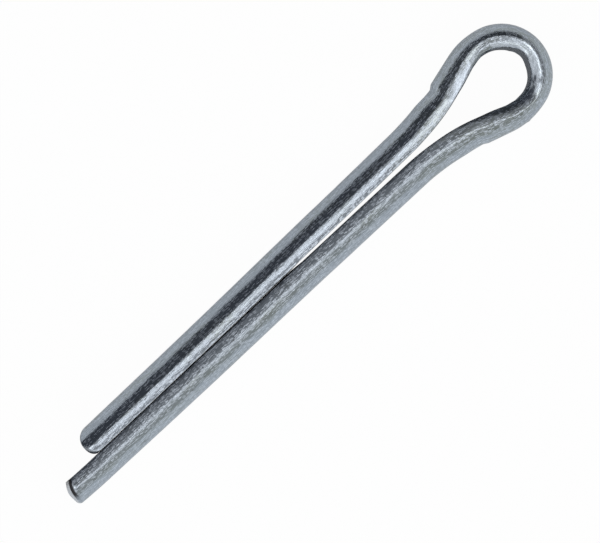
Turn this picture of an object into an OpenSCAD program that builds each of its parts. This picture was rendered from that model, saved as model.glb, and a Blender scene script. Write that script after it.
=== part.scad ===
// Split cotter pin, 5 x 40 size: one length of half-round wire folded flat side to flat side.
// +X runs along the shank towards the eye, +Y towards the short leg, +Z along the eye's axis.
// The origin is on the shank's axis, in the middle of the stretch that sits in the hole.

/* [Wire] */
// Diameter of the shank, both legs together
shank_d = 4.5; // [4.3:0.05:4.6]
// Height above the flat of the crease that runs along each side, where the round face ends
crease_h = 0.83; // [0.8:0.01:0.95]
// Radius of the cheeks, which fall from the creases to the flat
cheek_r = 2; // [1.8:0.1:2.4]
// Radius on the two edges of the flat
edge_r = 0.15; // [0.1:0.01:0.2]

/* [Legs] */
// From the origin to the short leg's tip
short_leg = 7.85; // [6:0.05:10]
// From the origin to the long leg's tip
long_leg = 11.3; // [10.5:0.05:14]
// From the origin to the end of the straight shank
shank_end = 13.8; // [12:0.1:16]
// Gap between the legs at the short leg's tip
tip_gap = 0.03; // [0.02:0.01:0.1]
// Angle at which the long leg leans away from the short one
long_lean = 0.2; // [0.05:0.05:0.4]
// Angle at which each leg opens past the shank, short leg then long leg
opening = [0.8, 0.6]; // [0.4:0.05:1]

/* [Tips] */
// Radius on each leg's outer corner, seen from above, short leg then long leg
nose_r = [1.2, 0.3]; // [0.2:0.05:1.25]
// Radius on each leg's seam corner, seen from above, short leg then long leg
heel_r = [0.95, 0.9]; // [0.2:0.05:0.95]
// Radius on the upper and lower rim of each cropped end
rim_r = 0.3; // [0.2:0.05:0.5]

/* [Eye] */
// From the origin to the outermost point of the crown
crown_reach = 41.5; // [40:0.1:44]
// How far the eye sits off the shank's axis, towards the long leg
eye_offset = 0.23; // [0:0.01:0.4]
// Outer radius of the crown
crown_r = 4.15; // [4:0.05:4.4]
// How far round the crown runs each way
crown_turn = 74; // [60:1:80]
// Outer radius of the haunches, between the crown and the flanks
haunch_r = 6.3; // [5:0.1:7]
// Slope of each flank to the shank, short leg's side then long leg's side
flank_slope = [14.3, 17.6]; // [12:0.1:20]
// Outer radius of each shoulder, where the flank turns into the leg
shoulder_r = [23, 19]; // [12:0.5:28]
// Depth that the forming die bit into each shoulder
die_mark = [0.14, 0.08]; // [0:0.01:0.2]
// How far each die mark begins past the end of its flank
die_at = [0.1, -0.55]; // [-0.8:0.05:0.8]
// Length over which each die mark runs out along the leg
die_run = 2; // [0.8:0.1:2.5]

/* [Wire round the eye] */
// Thickness where the fold has drawn the wire thin, at the crown
crown_t = 1.82; // [1.7:0.02:2]
// Thickness at the corners of the opening, short leg's side then long leg's side
corner_t = [2.07, 1.92]; // [1.8:0.01:2.2]
// Thickness beside the haunches
haunch_t = [2.06, 1.96]; // [1.9:0.01:2.2]
// Thickness where the bend has swelled the wire, past the flanks
swell_t = [2.3, 2.22]; // [2.2:0.01:2.4]
// Height of the crease at the crown, as a share of the thickness
crown_crease = 0.45; // [0.38:0.01:0.5]
// Share at the corners of the opening
corner_crease = [0.47, 0.46]; // [0.4:0.01:0.55]
// Share beside the haunches
haunch_crease = [0.5, 0.57]; // [0.4:0.01:0.6]
// Share past the flanks
swell_crease = [0.44, 0.43]; // [0.38:0.01:0.5]
// Radius of the cheeks round the eye, where the bend has rounded them
eye_cheek_r = 1.4; // [1.35:0.05:2]
// Radius on the edges of the flat round the eye
eye_edge_r = 0.5; // [0.15:0.05:0.6]

/* [Hidden] */
// A flat leg is half of the round shank.
leg_t = shank_d / 2;
SHORT = 0;
LONG = 1;
LEAN = [0, long_lean];
TIP = [short_leg, long_leg];
// Distances from the crown at which the section is given: crown, corner, haunch, swell and plain leg
SECTION_AT = [0, 3, 6.5, 10.5, 18];
// Distances from the crown between which the cheeks and edges change to those of the legs
ROUND_TO = 8;
PLAIN_FROM = 15;
// Length over which the die's edge steps down
DIE_STEP = 0.4;
// Half the gap between the flats at the origin, which lies midway between them
half_gap = (tip_gap + short_leg * tan(long_lean)) / 2;
// Half the width across the creases, to the nearest micron so that the arcs on it meet exactly
crease_v = round(1000 * sqrt(pow(leg_t, 2) - pow(crease_h, 2))) / 1000;
// Each cheek starts this far inside its crease, where it is level.
cheek_u = crease_h - 0.05;
// The edge's arc meets the cheek this far round, short of a tangent, so that the two cross cleanly.
EDGE_TURN = 55;
flat_v = round(1000 * (cheek_v(edge_r * (1 - cos(EDGE_TURN))) - edge_r * sin(EDGE_TURN))) / 1000;
// The ends are cut by shapes this much fatter than the wire, to cross it cleanly.
nose_slack = 0.03;
// They also reach this far past it.
overhang = 1;
// The folded wire's ends run this far into the straight legs, this much smaller than them.
tuck = 0.4;
tuck_scale = 0.99;
// Steps round each bend, then round the wire's outer face, each cheek and each edge
crown_steps = 12;
haunch_steps = 6;
flank_steps = 6;
shoulder_steps = 18;
face_steps = 12;
cheek_steps = 4;
edge_steps = 2;
$fn = 96;

function dir(a) = [cos(a), sin(a)];
function cross2(a, b) = a.x * b.y - a.y * b.x;
function ease(f) = let (c = min(1, max(0, f))) c * c * (3 - 2 * c);
function flat(lists) = [for (l = lists) each l];
function reversed(list) = [for (i = [len(list) - 1 : -1 : 0]) list[i]];

// --- The wire's section: u runs outward from the flat, v across the flat ---

// Half the width at a height above the flat, on a cheek
function cheek_v(u) = crease_v - cheek_r + sqrt(pow(cheek_r, 2) - pow(cheek_u - u, 2));

// The section's outline for a given thickness, crease height, cheek and edge, as [u, v] points
function section_points(thick, crease, cheek, edge) =
    let (
        wide = sqrt(pow(leg_t, 2) - pow(crease, 2)),
        meet = acos(crease / leg_t),
        turn = asin((crease - edge) / (cheek - edge)),
        centre = wide - cheek,
        edge_v = centre + (cheek - edge) * cos(turn),
        half = flat([
            [for (i = [0 : face_steps / 2]) leg_t * dir(2 * meet * i / face_steps)],
            [for (i = [1 : cheek_steps]) [crease, centre] + cheek * dir(90 + turn * i / cheek_steps)],
            [
                for (i = [1 : edge_steps])
                [edge, edge_v] + edge * dir(90 + turn + (90 - turn) * i / edge_steps)
            ]
        ])
    )
    [
        for (p = concat(half, [for (i = [len(half) - 1 : -1 : 1]) [half[i].x, -half[i].y]]))
        [p.x * thick / leg_t, p.y]
    ];

// The same section with true arcs, for the straight legs
module section() {
    intersection() {
        circle(leg_t);
        union() {
            translate([cheek_u, -crease_v]) square([leg_t + overhang, 2 * crease_v]);
            for (way = [-1, 1]) translate([cheek_u, way * (crease_v - cheek_r)]) circle(cheek_r);
        }
        union() {
            translate([0, -flat_v]) square([leg_t + overhang, 2 * flat_v]);
            translate([edge_r, -leg_t - overhang]) square([leg_t + overhang, 2 * (leg_t + overhang)]);
            for (way = [-1, 1]) translate([edge_r, way * flat_v]) circle(edge_r);
        }
    }
}

// --- The fold: a walk along the wire's outer face, from the crown to a leg ---

// A station is [x, y, heading, distance walked]. A piece is [length or radius, turn, steps].
function walk(from, piece, f) =
    let (size = piece[0], turn = piece[1] * f, h = from[2], way = sign(turn))
    piece[1] == 0
        ? [from.x + size * f * cos(h), from.y + size * f * sin(h), h, from[3] + size * f]
        : [
            from.x + way * size * (sin(h + turn) - sin(h)),
            from.y - way * size * (cos(h + turn) - cos(h)),
            h + turn,
            from[3] + size * abs(turn) * PI / 180
        ];
function stations(from, pieces, i = 0) =
    i == len(pieces) ? [] : concat(
        [for (k = [1 : pieces[i][2]]) walk(from, pieces[i], k / pieces[i][2])],
        stations(walk(from, pieces[i], 1), pieces, i + 1)
    );
function last_station(from, pieces) = let (all = stations(from, pieces)) all[len(all) - 1];

// Both sides are worked out with y pointing away from the seam, and the long side is mirrored.
crown_y = [-eye_offset, eye_offset];

// Where a straight leg ends, on its outer face
function shank_corner(leg) =
    [0, half_gap] + shank_end * dir(LEAN[leg]) + leg_t * dir(LEAN[leg] + 90);

// The length left for the flank and the leg, once the bends have their turns
function straights(leg) =
    let (
        bends = last_station([crown_reach, crown_y[leg], 90, 0], [
            [crown_r, crown_turn, 1],
            [haunch_r, 90 - crown_turn + flank_slope[leg], 1],
            [shoulder_r[leg], opening[leg] - flank_slope[leg], 1]
        ]),
        left = shank_corner(leg) - [bends.x, bends.y],
        flank = dir(180 + flank_slope[leg]),
        along = dir(180 + opening[leg])
    )
    [cross2(left, along), cross2(flank, left)] / cross2(flank, along);

function side(leg) =
    let (run = straights(leg))
    stations([crown_reach, crown_y[leg], 90, 0], [
        [crown_r, crown_turn, crown_steps],
        [haunch_r, 90 - crown_turn + flank_slope[leg], haunch_steps],
        [run[0], 0, flank_steps],
        [shoulder_r[leg], opening[leg] - flank_slope[leg], shoulder_steps],
        [run[1] - 1.5 * tuck, 0, 2],
        [2 * tuck, 0, 2]
    ]);

// Distance from the crown at which the flank ends
function flank_end(leg) =
    PI / 180 * (crown_r * crown_turn + haunch_r * (90 - crown_turn + flank_slope[leg]))
    + straights(leg)[0];
function mark_depth(leg, d) =
    let (past = d - flank_end(leg) - die_at[leg])
    die_mark[leg] * ease(past / DIE_STEP) * (1 - ease((past - DIE_STEP) / die_run));

// The thickness and the crease ease from each given value to the next.
function change(values, d, i = 1) =
    i == len(values) ? 0 :
    (values[i] - values[i - 1]) * ease((d - SECTION_AT[i - 1]) / (SECTION_AT[i] - SECTION_AT[i - 1]))
    + change(values, d, i + 1);
function thickness(leg, d) =
    crown_t + change([crown_t, corner_t[leg], haunch_t[leg], swell_t[leg], leg_t], d);
function crease(leg, d) =
    leg_t * (crown_crease + change(
        [crown_crease, corner_crease[leg], haunch_crease[leg], swell_crease[leg], crease_h / leg_t], d));
function from_eye(eye_value, leg_value, d) =
    eye_value + (leg_value - eye_value) * ease((d - ROUND_TO) / (PLAIN_FROM - ROUND_TO));

// One ring of the wire's surface at a station. The wire's outer face is on the walk's right.
function ring(leg, station, shrink = 1) =
    let (
        d = station[3],
        thick = thickness(leg, d),
        cheek = from_eye(eye_cheek_r, cheek_r, d),
        edge = from_eye(eye_edge_r, edge_r, d),
        out = dir(station[2] - 90)
    )
    [
        for (p = section_points(thick - mark_depth(leg, d), crease(leg, d), cheek, edge))
        let (u = thick / 2 + (p.x - thick / 2) * shrink - thick)
        [station.x + out.x * u, (leg == LONG ? -1 : 1) * (station.y + out.y * u), p.y * shrink]
    ];
function side_rings(leg) =
    let (line = side(leg), tucked = len(line) - 2)
    [for (i = [0 : len(line) - 1]) ring(leg, line[i], i < tucked ? 1 : tuck_scale)];

module fold() {
    rings = concat(
        reversed(side_rings(SHORT)),
        [ring(SHORT, [crown_reach, crown_y[SHORT], 90, 0])],
        side_rings(LONG)
    );
    n = len(rings[0]);
    last = (len(rings) - 1) * n;
    polyhedron(
        points = flat(rings),
        faces = concat(
            [[for (j = [0 : n - 1]) j]],
            [[for (j = [0 : n - 1]) last + n - 1 - j]],
            [
                for (i = [0 : len(rings) - 2], j = [0 : n - 1])
                let (a = i * n + j, b = i * n + (j + 1) % n)
                each [[a, a + n, b], [b, a + n, b + n]]
            ]
        )
    );
}

// --- The legs: straight half-round bars with shaped tips ---

// A bar's outline from the origin along X, between two heights, with both corners of its end rounded
module end_outline(low, high, low_r, high_r, length) {
    translate([low_r, low]) square([length - low_r, high - low]);
    translate([high_r, low + low_r]) square([length - high_r, high - low - low_r]);
    translate([0, low + low_r]) square([length, high - high_r - low - low_r]);
    translate([low_r, low + low_r]) circle(low_r);
    translate([high_r, high - high_r]) circle(high_r);
}

// A leg from its tip at the origin, with the flat on the X axis and the round face towards +Y
module bar(length, nose, heel) {
    past = length + overhang;
    side_v = crease_v + nose_slack;
    intersection() {
        rotate([90, 0, 90]) linear_extrude(length) section();
        linear_extrude(2 * shank_d, center = true)
            end_outline(-nose_slack, leg_t + nose_slack, heel, nose, past);
        rotate([90, 0, 0]) linear_extrude(2 * shank_d, center = true)
            end_outline(-side_v, side_v, rim_r, rim_r, past);
    }
}

module leg(which) {
    mirror([0, which == LONG ? 1 : 0]) translate([0, half_gap]) rotate(LEAN[which])
        translate([-TIP[which], 0])
        bar(TIP[which] + shank_end, nose_r[which], heel_r[which]);
}

module cotter_pin() {
    color([0.62, 0.65, 0.69]) union() {
        fold();
        leg(SHORT);
        leg(LONG);
    }
}

cotter_pin();
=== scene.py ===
"""A split cotter pin, size 5 x 40: half-round wire, folded and zinc plated, on a studio floor."""

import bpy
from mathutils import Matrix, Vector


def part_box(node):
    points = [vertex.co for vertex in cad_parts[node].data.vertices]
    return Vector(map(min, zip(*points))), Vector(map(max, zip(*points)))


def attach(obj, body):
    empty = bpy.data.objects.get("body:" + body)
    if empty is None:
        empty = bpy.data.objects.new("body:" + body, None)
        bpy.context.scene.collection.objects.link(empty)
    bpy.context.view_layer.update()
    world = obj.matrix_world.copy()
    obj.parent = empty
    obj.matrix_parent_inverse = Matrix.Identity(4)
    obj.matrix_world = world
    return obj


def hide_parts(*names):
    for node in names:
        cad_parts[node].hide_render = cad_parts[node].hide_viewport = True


bl_info = {
    "name": "Split Cotter Pin",
    "version": (1, 0, 0),
    "blender": (4, 5, 0),
    "location": "View3D > Sidebar > Cotter Pin",
    "description": "Builds a zinc plated split cotter pin and the studio floor it lies on",
    "category": "Add Mesh",
}

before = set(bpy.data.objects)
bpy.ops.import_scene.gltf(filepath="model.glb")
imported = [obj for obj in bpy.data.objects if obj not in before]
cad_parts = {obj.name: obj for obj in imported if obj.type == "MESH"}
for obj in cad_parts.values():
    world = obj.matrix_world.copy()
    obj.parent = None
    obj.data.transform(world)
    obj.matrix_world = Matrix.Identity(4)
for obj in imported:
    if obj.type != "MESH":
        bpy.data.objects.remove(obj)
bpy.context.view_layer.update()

import math

import bpy
from bpy.props import FloatProperty, FloatVectorProperty, PointerProperty
from mathutils import Matrix, Vector, noise

NODE = "cotter_pin"
BODY = "root"
MM = 0.001
LOW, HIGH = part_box(NODE)

# The two halves of the wire, on either side of the crown. Each is worked out with y away from the
# seam, and a pair of values gives the short half's first.
SHORT, LONG = 0, 1


class WireSettings(bpy.types.PropertyGroup):
    """Sizes of the folded wire"""

    shank: FloatProperty(
        name="Shank",
        description="Diameter of the two legs together",
        default=4.5 * MM, min=4 * MM, max=5 * MM, unit="LENGTH", precision=5,
    )
    reach: FloatProperty(
        name="Crown reach",
        description="From the origin to the outermost point of the crown",
        default=HIGH.x, min=40 * MM, max=44 * MM, unit="LENGTH", precision=5,
    )
    short_leg: FloatProperty(
        name="Short leg",
        description="From the origin to the short leg's tip",
        default=7.97 * MM, min=6 * MM, max=10 * MM, unit="LENGTH", precision=5,
    )
    long_leg: FloatProperty(
        name="Long leg",
        description="From the origin to the long leg's tip",
        default=-LOW.x, min=10.5 * MM, max=14 * MM, unit="LENGTH", precision=5,
    )
    step: FloatProperty(
        name="Step",
        description="Length of wire between two rings of the mesh",
        default=0.125 * MM, min=0.1 * MM, max=1 * MM, unit="LENGTH", precision=5,
    )
    waviness: FloatProperty(
        name="Waviness",
        description="Height of the long marks that drawing and folding left in the wire",
        default=0.006 * MM, min=0, max=0.03 * MM, unit="LENGTH", precision=6,
    )


class FinishSettings(bpy.types.PropertyGroup):
    """Colours and grain of the zinc plating"""

    zinc: FloatVectorProperty(
        name="Zinc",
        description="Colour of the clean plating",
        default=(0.344, 0.384, 0.425), size=3, min=0, max=1, subtype="COLOR",
    )
    haze: FloatVectorProperty(
        name="Haze",
        description="Colour of the plating where it is slightly yellowed",
        default=(0.32, 0.353, 0.36), size=3, min=0, max=1, subtype="COLOR",
    )
    grime: FloatVectorProperty(
        name="Grime",
        description="Colour of the dull specks in the plating",
        default=(0.14, 0.145, 0.15), size=3, min=0, max=1, subtype="COLOR",
    )
    roughness: FloatProperty(
        name="Roughness",
        description="Roughness of the clean plating",
        default=0.11, min=0, max=1, subtype="FACTOR",
    )
    streak: FloatVectorProperty(
        name="Streaks",
        description="Colour of the small dull streaks that drawing left along the wire",
        default=(0.56, 0.615, 0.68), size=3, min=0, max=1, subtype="COLOR",
    )
    streak_roughness: FloatProperty(
        name="Streak roughness",
        description="Roughness of the small dull streaks",
        default=0.4, min=0, max=1, subtype="FACTOR",
    )
    # Real dirt in the pits and stains, and painted shade round the sheared rims and on the long
    # end's face
    dirt_and_shade: FloatVectorProperty(
        name="Dirt",
        description="Colour of the dirt in the pits, stains and sheared rims",
        default=(0.035, 0.034, 0.036), size=3, min=0, max=1, subtype="COLOR",
    )
    # Partly painted shade: the flats are coloured darker than their dull finish alone, for the shade
    # between the halves and inside the eye
    flat: FloatVectorProperty(
        name="Flats",
        description="Colour of the dull flats, where the two halves were pressed together",
        default=(0.2, 0.215, 0.235), size=3, min=0, max=1, subtype="COLOR",
    )
    flat_roughness: FloatProperty(
        name="Flat roughness",
        description="Roughness of the dull flats",
        default=0.75, min=0, max=1, subtype="FACTOR",
    )
    grain: FloatProperty(
        name="Grain",
        description="Size across the wire of the finest bumps in the plating",
        default=0.07 * MM, min=0.03 * MM, max=1 * MM, unit="LENGTH", precision=5,
    )
    grain_height: FloatProperty(
        name="Grain height",
        description="Height of the finest bumps in the plating",
        default=0.008 * MM, min=0, max=0.1 * MM, unit="LENGTH", precision=6,
    )


class StageSettings(bpy.types.PropertyGroup):
    """Floor, studio light and camera"""

    floor: FloatVectorProperty(
        name="Floor",
        description="Colour of the floor",
        default=(0.86, 0.87, 0.88), size=3, min=0, max=1, subtype="COLOR",
    )
    floor_size: FloatProperty(
        name="Floor size",
        description="Side of the square floor",
        default=6, min=1, max=20, unit="LENGTH",
    )
    floor_glow: FloatProperty(
        name="Floor glow",
        description="Share of plain white that the camera sees in the floor",
        default=0.97, min=0, max=1, subtype="FACTOR",
    )
    # Painted shade: the plating sees the floor's glow brighter beside the long leg than beside the
    # short one
    lit_glow: FloatProperty(
        name="Mirrored glow, lit side",
        description="Share of plain white that the plating sees in the floor beside the long leg",
        default=0.72, min=0, max=1, subtype="FACTOR",
    )
    shaded_glow: FloatProperty(
        name="Mirrored glow, shaded side",
        description="Share of plain white that the plating sees in the floor beside the short leg",
        default=0.35, min=0, max=1, subtype="FACTOR",
    )
    # Painted reflection colour: a blue tint that only the plating sees in the floor
    glow_tint: FloatVectorProperty(
        name="Mirrored glow",
        description="Tint of the floor as the plating sees it",
        default=(0.93, 0.965, 1.0), size=3, min=0, max=1, subtype="COLOR",
    )
    distance: FloatProperty(
        name="Camera distance",
        description="From the camera to the pin",
        default=1.2, min=0.2, max=3, unit="LENGTH",
    )
    field: FloatProperty(
        name="Field",
        description="Width of the view at the pin",
        default=48.281 * MM, min=10 * MM, max=1, unit="LENGTH", precision=5,
    )
    roll: FloatProperty(
        name="Roll",
        description="Angle of the shank above the view's horizontal",
        default=math.radians(43.437), subtype="ANGLE",
    )
    tip_tilt: FloatProperty(
        name="Tilt to the tips",
        description="Angle by which the camera leans from overhead towards the tips",
        default=math.radians(5.6), subtype="ANGLE",
    )
    side_tilt: FloatProperty(
        name="Tilt to the side",
        description="Angle by which the camera leans from overhead towards the short leg",
        default=math.radians(0.8), subtype="ANGLE",
    )


# --- The wire's path ---

# The wire's outer face, from the crown to the tips, in millimetres and degrees. The halves meet at
# the crown, a little off the shank's axis.
EYE_OFFSET = (-0.23, 0.23)
CROWN_RADIUS = 4.15
CROWN_TURN = 74
HAUNCH_RADIUS = 6.3
FLANK_SLOPE = (14.3, 17.6)
SHOULDER_RADIUS = (23, 19)
# The legs open by one angle beyond the end of the shank, and lean by another in it. Both are
# measured from the axis, and a wide bend joins the two.
SHANK_END = 13.8
OPENING = (0.8, 0.6)
LEAN = (0, 0.2)
EASY_BEND = 250
# Half of the space between the flats at the origin
HALF_GAP = 0.029


def heading(degrees):
    """Unit vector at this angle."""
    return Vector((math.cos(math.radians(degrees)), math.sin(math.radians(degrees))))


def cross(a, b):
    """Cross product of two plane vectors."""
    return a.x * b.y - a.y * b.x


def ease(f):
    """A smooth step from 0 to 1."""
    f = min(1, max(0, f))
    return f * f * (3 - 2 * f)


def profile_at(profile, place):
    """A value read from a smooth curve through (place, value) pairs."""
    before = profile[0]
    for after in profile[1:]:
        if place < after[0]:
            share = ease((place - before[0]) / (after[0] - before[0]))
            return before[1] + (after[1] - before[1]) * share
        before = after
    return before[1]


class Walk:
    """A walk along the wire's outer face, in millimetres and degrees."""

    def __init__(self, at, facing, step):
        self.at, self.facing, self.gone, self.step = Vector(at), facing, 0, step
        self.stations = [(self.at.copy(), facing, 0)]

    def straight(self, length):
        steps = max(1, round(length / self.step))
        start, gone = self.at.copy(), self.gone
        for i in range(1, steps + 1):
            self.at = start + heading(self.facing) * (length * i / steps)
            self.gone = gone + length * i / steps
            self.stations.append((self.at.copy(), self.facing, self.gone))

    def bend(self, radius, turn):
        length = radius * math.radians(abs(turn))
        steps = max(1, round(length / self.step))
        way = math.copysign(1, turn)
        centre = self.at - heading(self.facing - 90) * (way * radius)
        facing, gone = self.facing, self.gone
        for i in range(1, steps + 1):
            self.facing = facing + turn * i / steps
            self.at = centre + heading(self.facing - 90) * (way * radius)
            self.gone = gone + length * i / steps
            self.stations.append((self.at.copy(), self.facing, self.gone))


def outer_line(wire, leg, step):
    """The stations of one half of the wire, and the distance at which its flank ends."""
    start = (wire.reach / MM, EYE_OFFSET[leg])
    haunch_turn = 90 - CROWN_TURN + FLANK_SLOPE[leg]
    shoulder_turn = OPENING[leg] - FLANK_SLOPE[leg]
    # The bends alone, and then the corner at the shank's end, give the lengths of the straights.
    bends = Walk(start, 90, 1)
    bends.bend(CROWN_RADIUS, CROWN_TURN)
    bends.bend(HAUNCH_RADIUS, haunch_turn)
    bends.bend(SHOULDER_RADIUS[leg], shoulder_turn)
    half = wire.shank / MM / 2
    corner = Vector((0, HALF_GAP)) + heading(LEAN[leg]) * SHANK_END
    corner += heading(LEAN[leg] + 90) * half
    left = corner - bends.at
    flank, opened = heading(180 + FLANK_SLOPE[leg]), heading(180 + OPENING[leg])
    flank_length = cross(left, opened) / cross(flank, opened)
    run = cross(flank, left) / cross(flank, opened)
    tangent = EASY_BEND * math.tan(math.radians(OPENING[leg] - LEAN[leg]) / 2)
    tip = (wire.short_leg, wire.long_leg)[leg] / MM

    walk = Walk(start, 90, step)
    walk.bend(CROWN_RADIUS, CROWN_TURN)
    walk.bend(HAUNCH_RADIUS, haunch_turn)
    walk.straight(flank_length)
    flank_end = walk.gone
    walk.bend(SHOULDER_RADIUS[leg], shoulder_turn)
    walk.straight(run - tangent)
    walk.bend(EASY_BEND, LEAN[leg] - OPENING[leg])
    walk.straight(SHANK_END + tip - tangent)
    return walk.stations, flank_end


# --- The wire's section: u runs outward from the flat, v across the flat ---

FACE_STEPS, CREASE_STEPS, SHOULDER_STEPS, EDGE_STEPS, FLAT_STEPS = 20, 4, 12, 4, 5


def half_section(radius, crease_u, soft, shoulder, edge):
    """From the middle of the round face to the middle of the flat: (u, v, normal u, normal v)."""
    # The crease's small arc touches the round face inside it and the level start of the shoulder.
    top = math.sqrt(radius ** 2 - crease_u ** 2)
    small_v = top - soft
    small_u = math.sqrt((radius - soft) ** 2 - small_v ** 2)
    meet = math.atan2(small_v, small_u)
    # The shoulder is one wide arc that falls to the small edge of the flat.
    turn = math.asin((small_u - edge) / (shoulder - edge))
    edge_v = top - shoulder + (shoulder - edge) * math.cos(turn)
    up = math.pi / 2
    points = []

    def arc(centre_u, centre_v, r, start, end, steps, first=1):
        for i in range(first, steps + 1):
            a = start + (end - start) * i / steps
            out_u, out_v = math.cos(a), math.sin(a)
            points.append((centre_u + r * out_u, centre_v + r * out_v, out_u, out_v))

    arc(0, 0, radius, 0, meet, FACE_STEPS, first=0)
    arc(small_u, small_v, soft, meet, up, CREASE_STEPS)
    arc(small_u, top - shoulder, shoulder, up, up + turn, SHOULDER_STEPS)
    arc(edge, edge_v, edge, up + turn, math.pi, EDGE_STEPS)
    for i in range(1, FLAT_STEPS + 1):
        points.append((0, edge_v * (1 - i / FLAT_STEPS), -1, 0))
    return points


def whole_section(radius, crease_u, soft, shoulder, edge):
    """The closed outline: from the middle of the round face over the crease, and back underneath."""
    half = half_section(radius, crease_u, soft, shoulder, edge)
    under = [(u, -v, nu, -nv) for u, v, nu, nv in reversed(half[1:-1])]
    return half + under


# How the section changes along each half, by distance from the crown, in millimetres: its
# thickness, the height of its crease as a share of that, the radius on the crease, the radius of
# the shoulder and the radius on the flat's edge.
THICKNESS = (
    ((0, 1.82), (0.9, 1.86), (2.1, 1.98), (3.5, 2.03), (5.7, 2.03), (6.7, 2.03), (8.2, 2.12),
     (10.5, 2.24), (13, 2.29), (26, 2.29), (33, 2.25)),
    ((0, 1.82), (1.8, 1.92), (4.2, 1.91), (5.5, 1.92), (6.7, 1.98), (8.2, 2.09), (10.5, 2.21),
     (13, 2.25), (18, 2.22)),
)
CREASE = (
    ((0, 0.45), (2, 0.45), (4, 0.46), (6, 0.495), (8, 0.475), (10, 0.445), (12, 0.415),
     (16, 0.385), (22, 0.375), (35, 0.365), (44, 0.35)),
    ((0, 0.45), (2, 0.455), (4, 0.495), (6, 0.575), (8, 0.52), (10, 0.455), (12, 0.39),
     (16, 0.395), (24, 0.4), (34, 0.393)),
)
SOFT = ((0, 0.1), (5, 0.18), (12, 0.15), (20, 0.12))
SHOULDER = ((0, 1.4), (8, 1.4), (15, 2), (18, 2.1))
EDGE = ((0, 0.06), (3, 0.1), (8, 0.2), (15, 0.06), (25, 0.04))


def section_at(leg, gone, radius):
    """The closed outline at this distance from the crown, before it is scaled to its thickness."""
    crease_u = profile_at(CREASE[leg], gone) * radius
    radii = [profile_at(profile, gone) for profile in (SOFT, SHOULDER, EDGE)]
    return whole_section(radius, crease_u, *radii)


# --- Marks that the making left, in millimetres ---

# The step that the forming die left where each flank ends: its depth, where it starts past the
# flank's end, and the lengths over which it deepens and dies away
DIE_MARK = (0.19, 0.1)
DIE_AT = (0.1, -0.55)
DIE_STEP = 0.4
DIE_RUN = 2

# The short leg's slight bow: its depth, its middle along x and its length to either side
BOW, BOW_AT, BOW_LENGTH = 0.065, 14.5, 5.5

# Each leg thins towards its tip, and the long leg's last stretch bends inward: by how much, and
# from how far off the tip.
CROP_TAPER = (0.036, 0.11)
CROP_TAPER_REACH = (26, 16)
CROP_BEND = 0.1
CROP_BEND_REACH = 3.5

# Seen from above, each tip is rounded on its round side and on its flat side: how far across the
# wire, and how far back along it. The long leg's flat side is worn to a parabola, and the others
# are quarters of an ellipse.
OUTER_NOSE = ((1.2, 1.2), (0.35, 0.28))
INNER_NOSE = ((0.9, 0.65), (1.35, 0.5))
# Radius of the rim round each end by height above the flat, and how far the end's top stands
# ahead of its middle, as a share of its height there
RIM = (((0, 0.45), (0.9, 0.3), (1.3, 0.1)), ((0, 0.34), (2, 0.34)))
SLANT = (0.08, 0)
RIM_STEPS = 8
CAP_STEPS = 4
# Length of wire kept for a rim behind the furthest corner of a tip
TIP_ROOM = 0.8
# Painted shade on the rim and on the end's face, by height above the flat: a dark band where the
# sheared end mirrors the dark studio. Round the rim it starts and the rim's own stops at these
# angles, in radians, each with the turn that the change takes.
RIM_PAINTED_SHADE = (((0, 0.6), (2, 0.6)), ((0, 1), (1.3, 1), (1.9, 0.15)))
FACE_PAINTED_SHADE = (((0, 0), (1, 0)), ((0, 1), (0.2, 0.9), (0.5, 0)))
RIM_SHADE_START = (0.05, 0.35)
RIM_SHADE_STOP = (1.35, 0.2)
# Cropping rolled the wire over close to each end: the share of its height lost, and over what
# length
ROLL = (0.03, 0.032)
ROLL_REACH = (0.9, 0.75)

# The flats bulge in the middle, so that the halves all but touch up to where the eye starts to
# open: half of the space left, the stretch along x in which the bulge ends, and its reach across
# the flat.
TOUCH = 0.003
TOUCH_TO = (13.6, 15.8)
BELLY_REACH = 1.7

# Waviness: the length and the width of its long marks and of its dents, with the share of the
# height that each takes. The seed sets the two apart, and the flats keep only a part of the whole.
LONG_MARKS = (2.2, 0.35, 0.55)
DENTS = (1.3, 0.8, 1.6)
WAVE_SEED = 7.3
EVEN_FLAT = 0.3

# Pits, stains and burrs: the leg, the place along x, the height above the flat and across it, the
# length, the width, how far the surface rises, and the share of dirt
MARKS = (
    ("pit", SHORT, 13.1, 0.77, 2.1, 0.07, 0.09, -0.03, 0.9),
    ("pit", SHORT, 21.6, 1.5, 1.6, 0.05, 0.05, -0.02, 0.6),
    ("stain", LONG, -4.1, 1.88, 1.15, 0.45, 0.13, 0, 0.45),
    ("stain", LONG, -2.2, 1.7, 1.35, 0.2, 0.08, 0, 0.25),
    ("burr", LONG, 36.4, 2.2, 0, 0.12, 0.5, 0.05, 0.2),
    ("burr", LONG, 35, 0.05, 1.65, 0.1, 0.12, 0.07, 0.3),
    ("burr", LONG, -11, 0, 1.9, 0.12, 0.2, 0.06, 0.3),
)
# Beyond this many of its lengths from its middle, a mark no longer counts.
MARK_REACH = 3


def mark_at(leg, x, u, v):
    """How far the surface rises here, and the share of dirt on it."""
    lift = dirt_and_shade = 0
    for _, side, lengthwise, height, across, length, width, rise, soil in MARKS:
        if side == leg and abs(x - lengthwise) < MARK_REACH * length:
            off = ((x - lengthwise) / length) ** 2
            off += ((u - height) ** 2 + (v - across) ** 2) / width ** 2
            share = math.exp(-off)
            lift += rise * share
            dirt_and_shade += soil * share
    return lift, min(1, dirt_and_shade)


def wave_at(gone, u, v):
    """How far the waviness lifts the surface here, as a share of its height."""
    length, width, share = LONG_MARKS
    mark = noise.noise(Vector((gone / length + WAVE_SEED, u / width, v / width)))
    dent_length, dent_width, dent_share = DENTS
    dent = noise.noise(Vector((gone / dent_length - WAVE_SEED, u / dent_width, v / dent_width)))
    return share * mark + dent_share * dent


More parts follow.
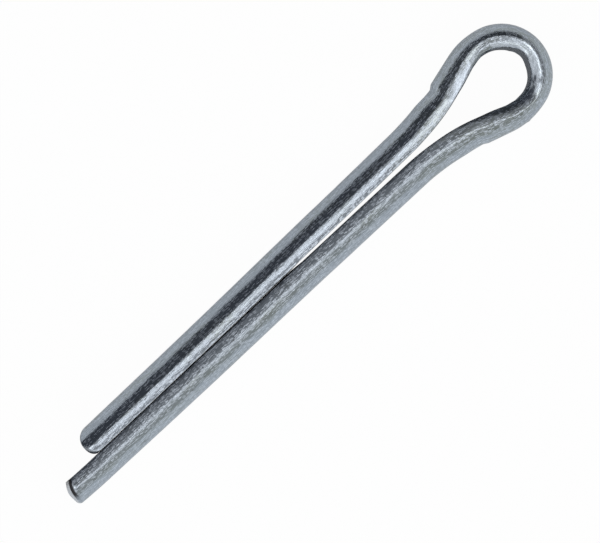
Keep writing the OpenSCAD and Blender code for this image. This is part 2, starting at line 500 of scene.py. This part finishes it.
def nose_back(leg, u, radius):
    """How far a tip falls back, at this height above the flat, from its foremost point."""
    across, back = OUTER_NOSE[leg]
    if u > radius - across:
        over = min(1, (u - radius + across) / across)
        return back * (1 - math.sqrt(1 - over ** 2))
    across, back = INNER_NOSE[leg]
    if u < across:
        over = min(1, (across - u) / across)
        return back * (1 - math.sqrt(1 - over ** 2) if leg == SHORT else over ** 2)
    return 0


def ring(wire, leg, station, flank_end, length, tall=1):
    """One ring of the wire: a row for each point, with its place in millimetres, its place in the
    wire's own coordinates, and the share of dirt there.
    """
    at, facing, gone = station
    radius = wire.shank / MM / 2
    from_tip = length - gone
    past = gone - flank_end - DIE_AT[leg]
    lost = DIE_MARK[leg] * min(1, max(0, past / DIE_STEP))
    lost *= 1 - ease((past - DIE_STEP) / DIE_RUN)
    lost += CROP_TAPER[leg] * ease(1 - from_tip / CROP_TAPER_REACH[leg])
    if leg == LONG:
        inward = CROP_BEND * max(0, 1 - from_tip / CROP_BEND_REACH) ** 2
    else:
        inward = -BOW * math.exp(-(((at.x - BOW_AT) / BOW_LENGTH) ** 2))
    thick = profile_at(THICKNESS[leg], gone)
    scale = (thick - lost) / radius
    out = heading(facing - 90)
    flat_y = (at - out * (thick + inward)).y
    closed = 1 - ease((at.x - TOUCH_TO[0]) / (TOUCH_TO[1] - TOUCH_TO[0]))
    belly = max(0, flat_y - TOUCH) * closed
    side = -1 if leg == LONG else 1
    rows = []
    for u, v, nu, nv in section_at(leg, gone, radius):
        lift = (wire.waviness / MM) * wave_at(gone, u, v)
        if nu == -1:
            lift = lift * EVEN_FLAT + belly * ease(1 - abs(v) / BELLY_REACH)
        rise, dirt_and_shade = mark_at(leg, at.x, u, v)
        lift += rise
        end = from_tip - nose_back(leg, u, radius)
        rolled = 1 - ROLL[leg] * min(1, max(0, 1 - end / ROLL_REACH[leg])) ** 2
        pu, pv = u + nu * lift, (v + nv * lift) * tall * rolled
        place = at + out * (pu * scale - thick - inward)
        own = (gone * (1 if leg == SHORT else -1), u, pv)
        rows.append(((place.x, side * place.y, pv), own, dirt_and_shade))
    return rows


def tip_plan(wire, leg, gone, length):
    """For each ring of a tip, from the last square ring on: how far along the wire each point
    lies, the share of its height that is left, and the painted shade on it.
    """
    radius = wire.shank / MM / 2
    slant = SLANT[leg]
    spots = []
    for u, v, _, _ in section_at(leg, gone, radius):
        tables = (RIM[leg], RIM_PAINTED_SHADE[leg], FACE_PAINTED_SHADE[leg])
        rim, rim_shade, face_shade = (profile_at(table, u) for table in tables)
        spots.append((length - nose_back(leg, u, radius), v, rim, rim_shade, face_shade))
    plan = []
    steps = max(2, round((length - gone) / (wire.step / MM)))
    for i in range(1, steps + 1):
        plan.append([
            (gone + (back + slant * v - rim - gone) * i / steps, 1, 0)
            for back, v, rim, _, _ in spots
        ])
    for i in range(1, RIM_STEPS + 1):
        a = math.pi / 2 * i / RIM_STEPS
        # Painted shade: a dark band round the rim, and on the long end's face near its flat
        start = ease((a - RIM_SHADE_START[0]) / RIM_SHADE_START[1])
        share = start * (1 - ease((a - RIM_SHADE_STOP[0]) / RIM_SHADE_STOP[1]))
        rows = []
        for back, v, rim, rim_shade, face_shade in spots:
            tall = 1 - rim / radius * (1 - math.cos(a))
            place = back + slant * v * tall - rim + rim * math.sin(a)
            rows.append((place, tall, max(rim_shade * share, face_shade * start)))
        plan.append(rows)
    for i in range(1, CAP_STEPS + 1):
        left = 1 - i / CAP_STEPS
        rows = []
        for back, v, rim, _, face_shade in spots:
            tall = (1 - rim / radius) * left
            rows.append((back + slant * v * tall, tall, face_shade))
        plan.append(rows)
    return plan


def tip_rings(wire, leg, base, flank_end, length):
    """The rings that carry a leg on from its last square ring and round its nose, and close it."""
    at, facing, gone = base
    ahead = heading(facing)
    rings = []
    for spots in tip_plan(wire, leg, gone, length):
        # The points of one of these rings lie at different places along the wire.
        rows = []
        for j, (place, tall, dirt_and_shade) in enumerate(spots):
            station = (at + ahead * (place - gone), facing, place)
            spot, own, marked = ring(wire, leg, station, flank_end, length, tall)[j]
            rows.append((spot, own, max(dirt_and_shade, marked)))
        rings.append(rows)
    return rings


def leg_rings(wire, leg):
    """The rings of one half of the wire, from the crown to its tip."""
    step = wire.step / MM
    stations, flank_end = outer_line(wire, leg, step)
    length = stations[-1][2]
    reserve = max(OUTER_NOSE[leg][1], INNER_NOSE[leg][1]) + TIP_ROOM + step
    square = [station for station in stations if length - station[2] > reserve]
    rings = [ring(wire, leg, station, flank_end, length) for station in square]
    return rings + tip_rings(wire, leg, square[-1], flank_end, length)


def wire_mesh(wire):
    """The wire as one closed mesh, in metres. Its own coordinates and its dirt and painted shade are
    attributes.
    """
    # From the short leg's tip round the eye to the long leg's, which share the ring at the crown.
    rings = leg_rings(wire, SHORT)[::-1] + leg_rings(wire, LONG)[1:]
    count = len(rings[0])
    last = len(rings) - 1

    def point(i, j):
        # A tip's last rings shrink towards the pin's middle plane, and share their points where
        # they meet on it.
        if j in (0, count // 2):
            i = min(max(i, CAP_STEPS), last - CAP_STEPS)
        elif i in (0, last) and j > count // 2:
            j = count - j
        return i * count + j

    faces = []
    for i in range(last):
        for j in range(count):
            k = (j + 1) % count
            face = (point(i, j), point(i, k), point(i + 1, k), point(i + 1, j))
            face = [a for n, a in enumerate(face) if a not in face[:n]]
            if len(face) > 2:
                faces.append(face)
    rows = [row for made in rings for row in made]
    used = sorted({a for face in faces for a in face})
    new = {a: n for n, a in enumerate(used)}
    faces = [[new[a] for a in face] for face in faces]
    places, coords, dirt_and_shade_values = zip(*(rows[a] for a in used))
    mesh = bpy.data.meshes.new(NODE + "_wire")
    mesh.from_pydata([Vector(place) * MM for place in places], [], faces)
    own = mesh.attributes.new("wire", "FLOAT_VECTOR", "POINT")
    own.data.foreach_set("vector", [c for triple in coords for c in triple])
    mesh.attributes.new("dirt_and_shade", "FLOAT", "POINT").data.foreach_set("value", dirt_and_shade_values)
    mesh.polygons.foreach_set("use_smooth", [True] * len(mesh.polygons))
    mesh.update()
    return mesh


# --- Shader nodes ---


def add_node(tree, kind, inputs=None, **settings):
    """A node with its settings and inputs. A socket is linked, and anything else is a value."""
    node = tree.nodes.new(kind)
    for name, value in settings.items():
        setattr(node, name, value)
    for name, value in (inputs or {}).items():
        socket = node.inputs[name]
        if isinstance(value, bpy.types.NodeSocket):
            tree.links.new(value, socket)
        else:
            socket.default_value = value
    return node


def calculate(tree, operation, *values):
    """The result of a Math node."""
    node = add_node(tree, "ShaderNodeMath", dict(enumerate(values)), operation=operation)
    return node.outputs[0]


def dot_product(tree, a, b):
    """The dot product of two vectors."""
    node = add_node(tree, "ShaderNodeVectorMath", {0: a, 1: b}, operation="DOT_PRODUCT")
    return node.outputs["Value"]


def ramp(tree, value, low, high, to_low=0, to_high=1):
    """A smooth step of a value from one range to another."""
    return add_node(
        tree, "ShaderNodeMapRange",
        {"Value": value, "From Min": low, "From Max": high, "To Min": to_low, "To Max": to_high},
        interpolation_type="SMOOTHSTEP",
    ).outputs["Result"]


def mix_colour(tree, factor, a, b):
    """Two colours, mixed by a factor. Each colour is a socket or three numbers."""
    node = add_node(tree, "ShaderNodeMix", {"Factor": factor}, data_type="RGBA")
    for socket, colour in ((node.inputs[6], a), (node.inputs[7], b)):
        if isinstance(colour, bpy.types.NodeSocket):
            tree.links.new(colour, socket)
        else:
            socket.default_value = (*colour, 1)
    return node.outputs[2]


def empty_tree(owner):
    """The empty node tree of a material or a world."""
    owner.use_nodes = True
    owner.node_tree.nodes.clear()
    return owner.node_tree


# --- The plating ---

# Sizes of the patterns, along the wire and across it: the bumps and the streaks in grains, and the
# haze, the specks and the clusters of streaks in millimetres. Offsets set the patterns apart.
FINE_BUMPS = (6, 1)
COARSE_BUMPS = (40, 5)
COARSE_SHARE = 1.5
STREAK_SIZE = (5, 1)
HAZE_SIZE = (5, 1.2)
SPECK_SIZE = (0.5, 0.22)
CLUSTER_SIZE = (4, 0.2)
HAZE_OFFSET, COARSE_OFFSET, SPECK_OFFSET, CLUSTER_OFFSET = 11, 31, 57, 71
# Where in its noise each pattern starts and is full
HAZE_RANGE = (0.5, 0.7)
SPECK_RANGE = (0.62, 0.74)
STREAK_RANGE = (0.53, 1.05)
# How strongly the clusters gather the streaks, and where a streak ends in its cell
CLUSTERING = 0.5
STREAK_EDGE = (0.75, 0.45)
# The haze grows towards the crown, between these distances from it, and by this much.
HAZE_GROWS = (24, 10)
HAZE_GROWTH = 0.12
# The flats' dull finish and painted shade end between these heights above them.
FLAT_EDGE = (0.03, 0.01)
# Colour of the plating seen at a low angle, as a share of white
GRAZING_TINT = (0.75, 0.75, 0.75, 1)


def in_grains(finish, size):
    """A pattern's size in millimetres, from its size in grains."""
    return tuple(finish.grain / MM * n for n in size)


def wire_scaled(tree, own, size, offset=0):
    """The wire's own coordinates in units of a pattern's size."""
    scale = (1 / size[0], 1 / size[1], 1 / size[1])
    inputs = {"Vector": own, "Scale": scale, "Location": (offset, offset, 0)}
    return add_node(tree, "ShaderNodeMapping", inputs).outputs[0]


def wire_noise(tree, own, size, detail=1, rough=0.55, offset=0):
    """Noise that follows the wire."""
    inputs = {"Vector": wire_scaled(tree, own, size, offset), "Scale": 1}
    inputs.update({"Detail": detail, "Roughness": rough})
    return add_node(tree, "ShaderNodeTexNoise", inputs).outputs["Fac"]


def wire_streaks(tree, own, size, cluster):
    """Short straight streaks along the wire. More of them show where the cluster noise is high."""
    inputs = {"Vector": wire_scaled(tree, own, size), "Scale": 1}
    cells = add_node(tree, "ShaderNodeTexVoronoi", inputs, feature="F1").outputs
    chance = add_node(tree, "ShaderNodeSeparateColor", {0: cells["Color"]}).outputs[0]
    chance = calculate(tree, "MULTIPLY_ADD", cluster, CLUSTERING, chance)
    shown = ramp(tree, chance, *STREAK_RANGE)
    inside = ramp(tree, cells["Distance"], *STREAK_EDGE)
    return calculate(tree, "MULTIPLY", shown, inside)


def zinc_plating(finish):
    """Bright zinc on drawn steel, with streaks along the wire, a little haze and dull specks."""
    material = bpy.data.materials.new("zinc_plating")
    tree = empty_tree(material)
    own = add_node(tree, "ShaderNodeAttribute", attribute_name="wire").outputs["Vector"]
    # This attribute carries real dirt from the marks and painted shade on the rims and end faces
    dirt_and_shade = add_node(tree, "ShaderNodeAttribute", attribute_name="dirt_and_shade").outputs["Fac"]
    gone, from_flat, _ = add_node(tree, "ShaderNodeSeparateXYZ", {0: own}).outputs

    near_eye = ramp(tree, calculate(tree, "ABSOLUTE", gone), *HAZE_GROWS)
    haze = wire_noise(tree, own, HAZE_SIZE, detail=3, offset=HAZE_OFFSET)
    haze = calculate(tree, "MULTIPLY_ADD", near_eye, HAZE_GROWTH, haze)
    haze = ramp(tree, haze, *HAZE_RANGE)
    specks = wire_noise(tree, own, SPECK_SIZE, detail=3, rough=0.6, offset=SPECK_OFFSET)
    specks = ramp(tree, specks, *SPECK_RANGE)
    cluster = wire_noise(tree, own, CLUSTER_SIZE, offset=CLUSTER_OFFSET)
    streaks = wire_streaks(tree, own, in_grains(finish, STREAK_SIZE), cluster)
    # Mask of the flats, whose dark colour is partly painted shade
    flat = ramp(tree, from_flat, *FLAT_EDGE)

    colour = tuple(finish.zinc)
    for share, coat in (
        (haze, finish.haze), (specks, finish.grime), (streaks, finish.streak),
        (flat, finish.flat), (dirt_and_shade, finish.dirt_and_shade),
    ):
        colour = mix_colour(tree, share, colour, tuple(coat))
    rough = ramp(tree, streaks, 0, 1, finish.roughness, finish.streak_roughness)
    flat_rough = calculate(tree, "MULTIPLY", flat, finish.flat_roughness)
    rough = calculate(tree, "MAXIMUM", rough, flat_rough)

    fine = wire_noise(tree, own, in_grains(finish, FINE_BUMPS))
    coarse = wire_noise(tree, own, in_grains(finish, COARSE_BUMPS), offset=COARSE_OFFSET)
    height = calculate(tree, "MULTIPLY_ADD", coarse, COARSE_SHARE, fine)
    inputs = {"Height": height, "Strength": 1.0, "Distance": finish.grain_height}
    bump = add_node(tree, "ShaderNodeBump", inputs).outputs["Normal"]
    inputs = {"Base Color": colour, "Metallic": 1.0, "Roughness": rough, "Normal": bump}
    inputs["Specular Tint"] = GRAZING_TINT
    shader = add_node(tree, "ShaderNodeBsdfPrincipled", inputs)
    add_node(tree, "ShaderNodeOutputMaterial", {"Surface": shader.outputs[0]})
    return material


# --- The stage ---

# Studio cards as the plating sees them: azimuth from +X towards +Y and angle from overhead, in
# degrees, then how far from its middle each starts and ends to fade, and its colour. Later ones
# cover earlier ones.
CARDS = (
    ("open side", 190, 55, 45, 68, (1.05, 1.05, 1.06)),
    ("far end", 350, 85, 30, 60, (0.33, 0.33, 0.34)),
    ("near side", 275, 40, 16, 34, (0.53, 0.53, 0.55)),
    ("dim corner", 62, 30, 8, 20, (0.4, 0.405, 0.42)),
    ("overhead", 0, 0, 6, 16, (0.5, 0.5, 0.51)),
    ("near wall", 270, 82, 20, 26, (0.52, 0.53, 0.51)),
    ("near corner", 289, 58, 6, 14, (1.0, 1.0, 1.0)),
    ("dark end", 180, 92, 11, 15, (0.1, 0.105, 0.115)),
    ("dim ceiling", 75, 26, 10, 22, (0.27, 0.275, 0.29)),
    ("dark wall", 68, 68, 26, 46, (0.087, 0.092, 0.105)),
    ("dark wall, far part", 98, 68, 20, 32, (0.08, 0.085, 0.1)),
    ("dark corner", 45, 80, 15, 35, (0.06, 0.065, 0.075)),
    ("dark wall, far end", 118, 60, 8, 24, (0.12, 0.125, 0.14)),
    ("grey corner", 60, 34, 5, 15, (0.36, 0.365, 0.38)),
    ("window", 178, 10.5, 6, 10.5, (3.2, 3.2, 3.2)),
    ("end window", 180, 71, 7, 12, (2.6, 2.6, 2.55)),
)
# Tube lamps: azimuth and angle from overhead of their two ends, then how far from their line each
# starts and ends to fade, and its colour
LAMPS = (
    ("glow of the near lamp", (300, 18), (310, 60), 4, 12, (0.87, 0.87, 0.9)),
    ("near lamp", (290, 11), (299, 66), 1, 5.5, (2.6, 2.6, 2.65)),
    ("side lamp", (188, 62), (277, 50), 2.5, 6.5, (2.3, 2.3, 2.3)),
)
# A lamp fades at its ends from this far inside them to as far outside.
LAMP_END = 6
BASE_LIGHT = (0.62, 0.62, 0.62)
WHITE = (1.0, 1.0, 1.0)


def direction(azimuth, tilt):
    """Unit vector towards a place in the studio."""
    a, t = math.radians(azimuth), math.radians(tilt)
    return Vector((math.cos(a) * math.sin(t), math.sin(a) * math.sin(t), math.cos(t)))


def near_share(tree, facing, middle, full, gone):
    """A share that is whole within one angle of a direction, and gone beyond another."""
    near = dot_product(tree, facing, middle)
    return ramp(tree, near, math.cos(math.radians(gone)), math.cos(math.radians(full)))


def lamp_share(tree, facing, start, end, full, gone):
    """How much of a straight lamp shows in each direction."""
    middle = (start + end).normalized()
    reach = math.degrees(start.angle(middle))
    beside = dot_product(tree, facing, start.cross(end).normalized())
    beside = calculate(tree, "ABSOLUTE", beside)
    across = ramp(tree, beside, math.sin(math.radians(gone)), math.sin(math.radians(full)))
    lengthwise = near_share(tree, facing, middle, reach - LAMP_END, reach + LAMP_END)
    return calculate(tree, "MULTIPLY", across, lengthwise)


def studio_light():
    """A world of soft cards and lamps, plain white where the camera looks past the floor."""
    world = bpy.data.worlds.new("studio")
    tree = empty_tree(world)
    facing = add_node(tree, "ShaderNodeTexCoord").outputs["Generated"]
    colour = BASE_LIGHT
    for _, azimuth, tilt, full, gone, card in CARDS:
        share = near_share(tree, facing, direction(azimuth, tilt), full, gone)
        colour = mix_colour(tree, share, colour, card)
    for _, start, end, full, gone, lamp in LAMPS:
        share = lamp_share(tree, facing, direction(*start), direction(*end), full, gone)
        colour = mix_colour(tree, share, colour, lamp)
    camera = add_node(tree, "ShaderNodeLightPath").outputs["Is Camera Ray"]
    shown = mix_colour(tree, camera, colour, WHITE)
    light = add_node(tree, "ShaderNodeBackground", {"Color": shown, "Strength": 1.0})
    add_node(tree, "ShaderNodeOutputWorld", {"Surface": light.outputs[0]})
    return world


# Painted shade in the floor as the plating mirrors it: the mirrored glow changes from its lit to its
# shaded side within this far of the pin's axis.
SIDE_REACH = 4 * MM
# The painted shade also falls off across the shaded side and towards the eye: from where to where,
# and to what share.
FALL_ACROSS = (3 * MM, 30 * MM, 0.45)
FALL_ALONG = (0, 30 * MM, 0.8)


def floor_finish(stage):
    """Pale floor, nearly plain white to the camera and softer in the plating, with the shadow. Its
    glow in the plating carries painted shade and a painted blue tint.
    """
    material = bpy.data.materials.new("pale_floor")
    tree = empty_tree(material)
    path = add_node(tree, "ShaderNodeLightPath").outputs
    place = add_node(tree, "ShaderNodeNewGeometry").outputs["Position"]
    lengthwise, across, _ = add_node(tree, "ShaderNodeSeparateXYZ", {0: place}).outputs
    # Painted shade: the mirrored glow is less beside the short leg, and less again further out and
    # towards the eye
    glow = ramp(tree, across, -SIDE_REACH, SIDE_REACH, stage.lit_glow, stage.shaded_glow)
    for value, (low, high, share) in ((across, FALL_ACROSS), (lengthwise, FALL_ALONG)):
        glow = calculate(tree, "MULTIPLY", glow, ramp(tree, value, low, high, 1, share))
    mirrored = calculate(tree, "MAXIMUM", path["Is Glossy Ray"], path["Is Transmission Ray"])
    mirrored = calculate(tree, "MULTIPLY", mirrored, glow)
    share = calculate(tree, "MULTIPLY_ADD", path["Is Camera Ray"], stage.floor_glow, mirrored)
    matt = add_node(tree, "ShaderNodeBsdfDiffuse", {"Color": (*stage.floor, 1)}).outputs[0]
    # Painted reflection colour: the plating sees the floor's glow tinted blue
    tint = mix_colour(tree, path["Is Camera Ray"], tuple(stage.glow_tint), WHITE)
    white = add_node(tree, "ShaderNodeEmission", {"Color": tint, "Strength": 1.0}).outputs[0]
    both = add_node(tree, "ShaderNodeMixShader", {0: share, 1: matt, 2: white}).outputs[0]
    add_node(tree, "ShaderNodeOutputMaterial", {"Surface": both})
    return material


def floor_mesh(half, height):
    """A square floor at this height."""
    corners = ((-half, -half), (half, -half), (half, half), (-half, half))
    mesh = bpy.data.meshes.new("floor")
    mesh.from_pydata([(x, y, height) for x, y in corners], [], [(0, 1, 2, 3)])
    return mesh


# Where the middle of the view falls, along the shank and across it
AIM = Vector((14.452, -0.566)) * MM
SENSOR = 36
CLIP = (0.01, 20)


def aim_camera(stage):
    """A long lens almost overhead, turned so that the shank rises to the right."""
    tip, side = stage.tip_tilt, stage.side_tilt
    back = Vector((-math.sin(tip), math.sin(side) * math.cos(tip), math.cos(side) * math.cos(tip)))
    along = (Vector((1, 0, 0)) - back * back.x).normalized()
    across = back.cross(along)
    right = along * math.cos(stage.roll) - across * math.sin(stage.roll)
    up = along * math.sin(stage.roll) + across * math.cos(stage.roll)
    data = bpy.data.cameras.new("camera")
    data.sensor_width = SENSOR
    data.lens = SENSOR * stage.distance / stage.field
    data.clip_start, data.clip_end = CLIP
    camera = bpy.data.objects.new("camera", data)
    place = along * AIM.x + across * AIM.y + back * stage.distance
    axes = Matrix((right, up, back)).transposed()
    camera.matrix_world = Matrix.Translation(place) @ axes.to_4x4()
    return camera


# --- Operators ---


class COTTER_OT_wire(bpy.types.Operator):
    """Add the folded wire with its zinc plating"""

    bl_idname = "cotter.wire"
    bl_label = "Cotter Pin"

    def execute(self, context):
        scene = context.scene
        pin = bpy.data.objects.new(NODE + "_wire", wire_mesh(scene.cotter_wire))
        scene.collection.objects.link(pin)
        pin.data.materials.append(zinc_plating(scene.cotter_finish))
        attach(pin, BODY)
        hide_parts(NODE)
        return {"FINISHED"}


class COTTER_OT_stage(bpy.types.Operator):
    """Add the floor, the studio light and the camera"""

    bl_idname = "cotter.stage"
    bl_label = "Stage"

    def execute(self, context):
        scene = context.scene
        stage = scene.cotter_stage
        low = min(v.co.z for v in bpy.data.objects[NODE + "_wire"].data.vertices)
        floor = bpy.data.objects.new("floor", floor_mesh(stage.floor_size / 2, low))
        floor.data.materials.append(floor_finish(stage))
        scene.collection.objects.link(floor)
        scene.world = studio_light()
        scene.camera = aim_camera(stage)
        scene.collection.objects.link(scene.camera)
        scene.view_settings.view_transform = "Standard"
        return {"FINISHED"}


class COTTER_PT_panel(bpy.types.Panel):
    """Lists the pin's settings and operators"""

    bl_idname = "COTTER_PT_panel"
    bl_label = "Cotter Pin"
    bl_space_type = "VIEW_3D"
    bl_region_type = "UI"
    bl_category = "Cotter Pin"

    def draw(self, context):
        scene = context.scene
        for operator, groups in (
            (COTTER_OT_wire, (scene.cotter_wire, scene.cotter_finish)),
            (COTTER_OT_stage, (scene.cotter_stage,)),
        ):
            box = self.layout.box()
            for group in groups:
                for name in group.__annotations__:
                    box.prop(group, name)
            box.operator(operator.bl_idname)


GROUPS = (
    ("cotter_wire", WireSettings),
    ("cotter_finish", FinishSettings),
    ("cotter_stage", StageSettings),
)
CLASSES = (*(group for _, group in GROUPS), COTTER_OT_wire, COTTER_OT_stage, COTTER_PT_panel)


def register():
    for each in CLASSES:
        bpy.utils.register_class(each)
    for name, group in GROUPS:
        setattr(bpy.types.Scene, name, PointerProperty(type=group))


def unregister():
    for name, _ in GROUPS:
        delattr(bpy.types.Scene, name)
    for each in reversed(CLASSES):
        bpy.utils.unregister_class(each)


def main():
    register()
    bpy.ops.cotter.wire()
    bpy.ops.cotter.stage()


if __name__ == "__main__":
    main()
